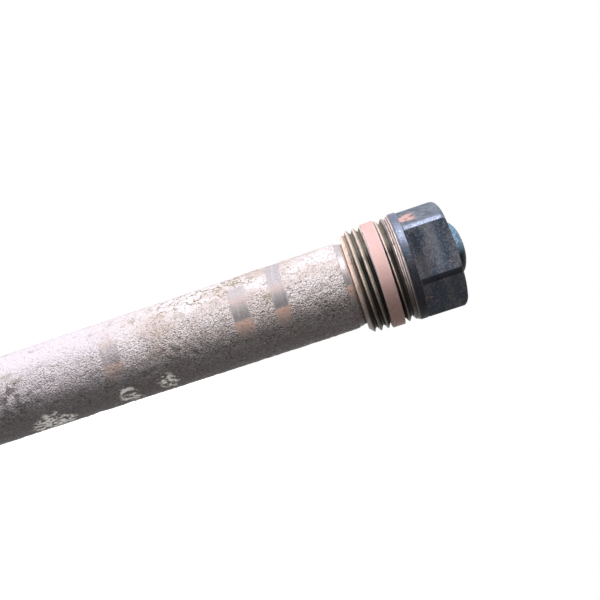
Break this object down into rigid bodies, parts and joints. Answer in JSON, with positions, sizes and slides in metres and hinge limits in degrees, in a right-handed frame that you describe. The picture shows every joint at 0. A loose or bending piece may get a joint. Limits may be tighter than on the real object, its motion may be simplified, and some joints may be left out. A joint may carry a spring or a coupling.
{
  "type": "water heater anode rod",
  "caption": "Magnesium anode rod cast on a steel core, with a threaded hexagon plug at its head and sealing tape round the thread.",
  "frame": {"origin": "on the rod's axis at the plug's seat, where the thread ends and the collar starts", "axes": "+Z along the rod's axis, out of the tank and towards the head; two flats of the hexagon face -Y and +Y"},
  "size_m": [0.027, 0.027, 0.2281],
  "materials": {
    "plug_steel": "dark, blued and lightly oxidised steel, with worn yellowish plating on the thread",
    "tape": "soft salmon pink thread sealing tape",
    "magnesium": "rough cast magnesium skin, dull grey and brownish, with smooth bare bands",
    "core_steel": "plain drawn steel wire"
  },
  "bodies": {
    "root": {"hex_plug": "plug_steel", "seal_tape": "tape", "magnesium_rod": "magnesium", "steel_core": "core_steel"}
  },
  "joints": []
}
